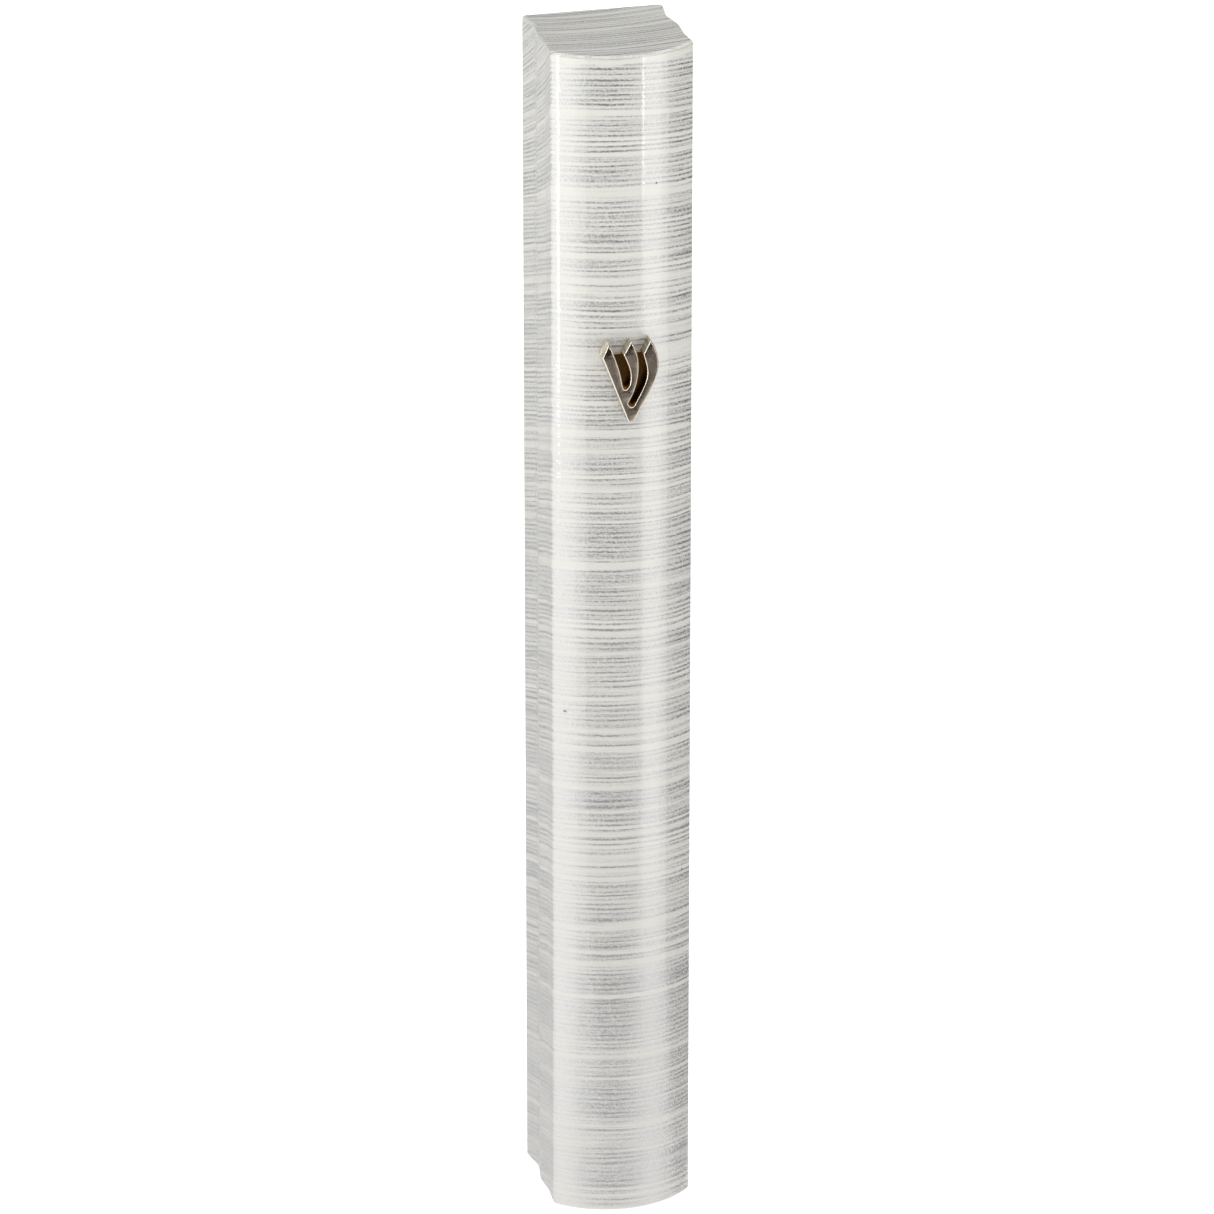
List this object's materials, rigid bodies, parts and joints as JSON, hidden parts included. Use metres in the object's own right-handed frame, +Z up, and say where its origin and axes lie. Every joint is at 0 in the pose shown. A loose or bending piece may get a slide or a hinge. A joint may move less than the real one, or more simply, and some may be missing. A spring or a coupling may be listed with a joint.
{
  "type": "mezuzah case",
  "caption": "Tall bow-fronted mezuzah case with a printed striped film, a metal letter on the front, and a rolled scroll held in its round chamber by a bottom stopper.",
  "frame": {"origin": "the middle of the mounting face at the back, where the tape and its liner meet the doorpost, at half the case's height", "axes": "+Z up along the case, +Y into the doorpost so that -Y is the bowed front, +X to the right of someone facing the front"},
  "size_m": [0.0174, 0.0207, 0.15],
  "materials": {
    "printed_film": "gloss",
    "white_plastic": "satin",
    "dark_silicone": "matte",
    "parchment": "matte",
    "clear_film": "gloss",
    "cast_metal": "polished",
    "white_foam": "matte",
    "release_paper": "satin"
  },
  "bodies": {
    "case": {"case_body": "printed_film", "top_plug": "white_plastic", "shin_emblem": "cast_metal", "mounting_tape": "white_foam", "tape_liner": "release_paper"},
    "stopper": {"stopper": "dark_silicone"},
    "scroll": {"scroll_parchment": "parchment", "scroll_wrap": "clear_film"}
  },
  "joints": [
    {"name": "stopper_pull", "type": "slide", "parent": "case", "child": "stopper", "axis": [0, 0, -1], "range_m": [0, 0.14]},
    {"name": "scroll_slide", "type": "slide", "parent": "case", "child": "scroll", "axis": [0, 0, -1], "range_m": [0, 0.14]}
  ],
  "couplings": [
    {"joint": "scroll_slide", "follows": "stopper_pull", "ratio": 1}
  ]
}
